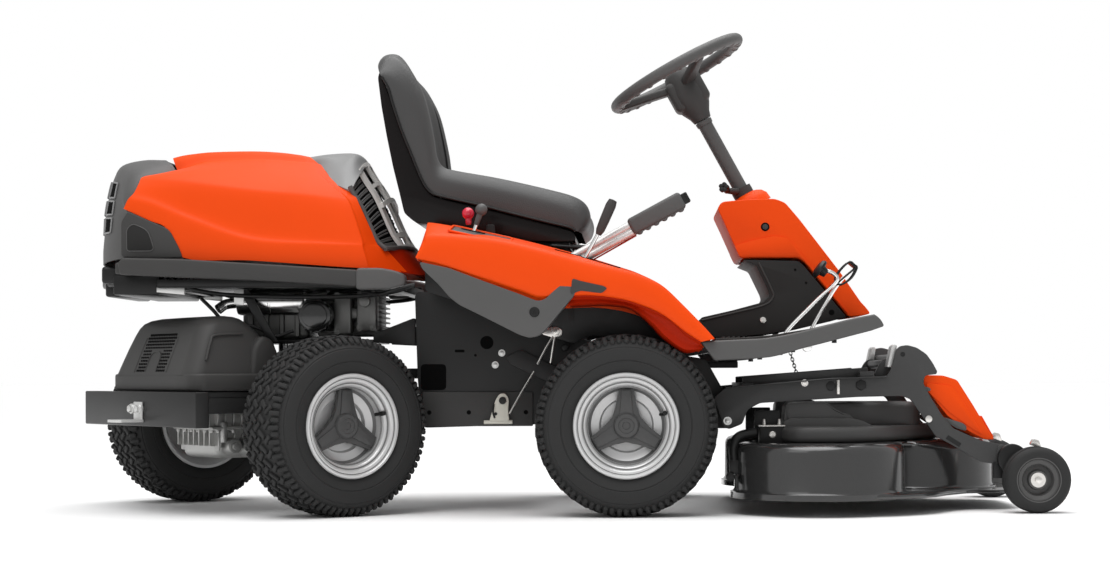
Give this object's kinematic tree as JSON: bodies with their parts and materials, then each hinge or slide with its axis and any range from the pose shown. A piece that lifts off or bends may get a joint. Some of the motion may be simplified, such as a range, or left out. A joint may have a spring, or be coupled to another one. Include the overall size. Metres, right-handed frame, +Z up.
{
  "type": "riding lawn mower",
  "caption": "Ride-on lawn mower with a front cutting deck on lifting arms, a bucket seat ahead of a rear engine hood, and a rear carriage that swings to steer.",
  "frame": {"origin": "on the ground, below the middle of the machine's length and width at rest", "axes": "+X forward, towards the cutting deck; +Y to the driver's left; +Z up"},
  "size_m": [2.2723, 0.9548, 1.1157],
  "materials": {
    "orange_panel": "satin orange moulded panels",
    "charcoal_plastic": "dark grey textured plastic",
    "trim_plastic": "mid grey satin plastic",
    "black_plastic": "black satin plastic",
    "red_plastic": "glossy red plastic",
    "black_paint": "black powder coat",
    "silver_paint": "silver wheel paint",
    "casting": "cast aluminium",
    "steel": "plain steel",
    "zinc": "zinc plate",
    "chrome": "bright plated steel",
    "tyre": "black rubber",
    "belt": "black belt rubber",
    "vinyl": "dark grey coated seat cloth"
  },
  "bodies": {
    "chassis": {"hood_front_grille": "trim_plastic", "main_frame": "black_paint", "engine_tray": "black_paint", "hood_rail": "charcoal_plastic", "engine_block": "casting", "muffler": "steel", "oil_filter": "black_paint", "fuel_tank": "black_plastic", "battery": "black_plastic", "fender_right": "orange_panel", "fender_left": "orange_panel", "side_panel_right": "trim_plastic", "side_panel_left": "trim_plastic", "console_cover": "orange_panel", "console_base": "charcoal_plastic", "footplate": "charcoal_plastic", "bumper_trim": "trim_plastic"},
    "front_wheel_right": {"front_wheel_right_tyre": "tyre", "front_wheel_right_rim": "silver_paint"},
    "front_wheel_left": {"front_wheel_left_tyre": "tyre", "front_wheel_left_rim": "silver_paint"},
    "crankshaft": {"engine_pulley": "steel"},
    "hood": {"hood_shell": "orange_panel", "hood_rear_grille": "charcoal_plastic"},
    "seat_mount": {"seat_base": "black_paint"},
    "seat": {"seat_pan": "black_plastic", "seat_cushion": "vinyl"},
    "seat_release": {"seat_lever": "black_plastic"},
    "steering_column": {"steering_shaft": "black_paint"},
    "steering_wheel": {"steering_wheel": "charcoal_plastic"},
    "column_clamp": {"column_knob": "black_plastic"},
    "throttle": {"throttle_lever": "trim_plastic"},
    "choke": {"choke_lever": "red_plastic"},
    "ignition": {"ignition_key": "black_plastic"},
    "lift_handle": {"lift_lever": "chrome"},
    "lift_latch": {"lift_button": "black_plastic"},
    "height_handle": {"height_lever": "black_plastic"},
    "forward_pedal": {"forward_pedal": "black_plastic"},
    "reverse_pedal": {"reverse_pedal": "black_plastic"},
    "brake_pedal": {"brake_pedal": "black_plastic"},
    "rear_carriage": {"rear_frame": "black_paint", "rear_cover": "charcoal_plastic", "rear_bumper": "black_paint", "tow_plate": "zinc", "transaxle": "casting", "drive_belt": "belt"},
    "rear_wheel_right": {"rear_wheel_right_tyre": "tyre", "rear_wheel_right_rim": "silver_paint"},
    "rear_wheel_left": {"rear_wheel_left_tyre": "tyre", "rear_wheel_left_rim": "silver_paint"},
    "deck_linkage": {"deck_frame": "black_paint"},
    "deck_wheel_right": {"deck_wheel_right": "tyre"},
    "deck_wheel_left": {"deck_wheel_left": "tyre"},
    "deck": {"deck_shell": "black_paint", "belt_cover": "charcoal_plastic", "front_cover": "orange_panel", "deck_belt": "belt"},
    "blade_right": {"blade_right": "steel"},
    "blade_middle": {"blade_middle": "steel"},
    "blade_left": {"blade_left": "steel"}
  },
  "joints": [
    {"name": "rear_steer", "type": "hinge", "parent": "chassis", "child": "rear_carriage", "pos_m": [-0.664, 0, 0.28], "axis": [0, 0, 1], "range_deg": [-78, 2]},
    {"name": "front_wheel_right_spin", "type": "hinge", "parent": "chassis", "child": "front_wheel_right", "pos_m": [0.151, -0.3575, 0.19878], "axis": [0, 1, 0], "continuous": true},
    {"name": "front_wheel_left_spin", "type": "hinge", "parent": "chassis", "child": "front_wheel_left", "pos_m": [0.151, 0.3575, 0.19878], "axis": [0, 1, 0], "continuous": true},
    {"name": "rear_wheel_right_spin", "type": "hinge", "parent": "rear_carriage", "child": "rear_wheel_right", "pos_m": [-0.49433, -0.32112, 0.19878], "axis": [-0.6157, 0.788, 0], "continuous": true},
    {"name": "rear_wheel_left_spin", "type": "hinge", "parent": "rear_carriage", "child": "rear_wheel_left", "pos_m": [-0.93453, 0.24231, 0.19878], "axis": [-0.6157, 0.788, 0], "continuous": true},
    {"name": "crankshaft_spin", "type": "hinge", "parent": "chassis", "child": "crankshaft", "pos_m": [-0.664, 0, 0.35], "axis": [0, 0, 1], "continuous": true},
    {"name": "hood_hinge", "type": "hinge", "parent": "chassis", "child": "hood", "pos_m": [-1.059, 0, 0.535], "axis": [0, -1, 0], "range_deg": [0, 70]},
    {"name": "seat_hinge", "type": "hinge", "parent": "chassis", "child": "seat_mount", "pos_m": [0.016, 0, 0.606], "axis": [0, 1, 0], "range_deg": [0, 48]},
    {"name": "seat_slide", "type": "slide", "parent": "seat_mount", "child": "seat", "axis": [1, 0, 0], "range_m": [-0.01, 0.06]},
    {"name": "seat_lever_hinge", "type": "hinge", "parent": "seat", "child": "seat_release", "pos_m": [-0.019, -0.2, 0.603], "axis": [0, -1, 0], "range_deg": [0, 12], "stiffness_Nm_per_rad": 2},
    {"name": "column_slide", "type": "slide", "parent": "chassis", "child": "steering_column", "axis": [-0.4818, 0, 0.8763], "range_m": [0, 0.05]},
    {"name": "steering_wheel_spin", "type": "hinge", "parent": "steering_column", "child": "steering_wheel", "pos_m": [0.2705, 0, 1.0235], "axis": [-0.4818, 0, 0.8763], "range_deg": [-16, 624]},
    {"name": "column_knob_spin", "type": "hinge", "parent": "chassis", "child": "column_clamp", "pos_m": [0.387, -0.042, 0.742], "axis": [-0.3107, -0.9321, 0.1864], "continuous": true},
    {"name": "throttle_hinge", "type": "hinge", "parent": "chassis", "child": "throttle", "pos_m": [-0.199, -0.33, 0.59], "axis": [0, 1, 0], "range_deg": [-25, 20]},
    {"name": "choke_hinge", "type": "hinge", "parent": "chassis", "child": "choke", "pos_m": [-0.2, -0.3, 0.58], "axis": [0, -1, 0], "range_deg": [0, 30]},
    {"name": "ignition_turn", "type": "hinge", "parent": "chassis", "child": "ignition", "pos_m": [-0.151, -0.3, 0.61], "axis": [0, 0, 1], "range_deg": [0, 90]},
    {"name": "lift_handle_hinge", "type": "hinge", "parent": "chassis", "child": "lift_handle", "pos_m": [-0.039, -0.263, 0.5285], "axis": [0, -1, 0], "range_deg": [0, 45]},
    {"name": "lift_button_press", "type": "slide", "parent": "lift_handle", "child": "lift_latch", "axis": [-0.8796, 0, -0.4756], "range_m": [0, 0.006], "stiffness_N_per_m": 800},
    {"name": "height_handle_hinge", "type": "hinge", "parent": "chassis", "child": "height_handle", "pos_m": [0.046, -0.307, 0.545], "axis": [0, -1, 0], "range_deg": [0, 30]},
    {"name": "forward_pedal_hinge", "type": "hinge", "parent": "chassis", "child": "forward_pedal", "pos_m": [0.507, -0.262, 0.368], "axis": [0, 1, 0], "range_deg": [-20, 20], "stiffness_Nm_per_rad": 5},
    {"name": "reverse_pedal_hinge", "type": "hinge", "parent": "chassis", "child": "reverse_pedal", "pos_m": [0.559, -0.222, 0.372], "axis": [0, 1, 0], "range_deg": [-20, 20]},
    {"name": "brake_pedal_hinge", "type": "hinge", "parent": "chassis", "child": "brake_pedal", "pos_m": [0.507, 0.262, 0.368], "axis": [0, 1, 0], "range_deg": [0, 22], "stiffness_Nm_per_rad": 5},
    {"name": "deck_lift", "type": "hinge", "parent": "chassis", "child": "deck_linkage", "pos_m": [0.381, 0, 0.2025], "axis": [0, -1, 0], "range_deg": [0, 10]},
    {"name": "deck_height", "type": "slide", "parent": "deck_linkage", "child": "deck", "axis": [0, 0, 1], "range_m": [0, 0.032]},
    {"name": "deck_wheel_right_spin", "type": "hinge", "parent": "deck_linkage", "child": "deck_wheel_right", "pos_m": [1.0635, -0.3, 0.0735], "axis": [0, 1, 0], "continuous": true},
    {"name": "deck_wheel_left_spin", "type": "hinge", "parent": "deck_linkage", "child": "deck_wheel_left", "pos_m": [1.0635, 0.3, 0.0735], "axis": [0, 1, 0], "continuous": true},
    {"name": "blade_right_spin", "type": "hinge", "parent": "deck", "child": "blade_right", "pos_m": [0.583, -0.265, 0.06], "axis": [0, 0, 1], "continuous": true},
    {"name": "blade_middle_spin", "type": "hinge", "parent": "deck", "child": "blade_middle", "pos_m": [0.821, 0, 0.06], "axis": [0, 0, 1], "continuous": true},
    {"name": "blade_left_spin", "type": "hinge", "parent": "deck", "child": "blade_left", "pos_m": [0.583, 0.265, 0.06], "axis": [0, 0, 1], "continuous": true}
  ],
  "couplings": [
    {"joint": "steering_wheel_spin", "follows": "rear_steer", "ratio": -8},
    {"joint": "lift_handle_hinge", "follows": "deck_lift", "ratio": 4.5},
    {"joint": "height_handle_hinge", "follows": "deck_height", "rad_per_m": 16.3},
    {"joint": "reverse_pedal_hinge", "follows": "forward_pedal_hinge", "ratio": -1},
    {"joint": "blade_right_spin", "follows": "blade_middle_spin", "ratio": 1},
    {"joint": "blade_left_spin", "follows": "blade_middle_spin", "ratio": 1}
  ]
}
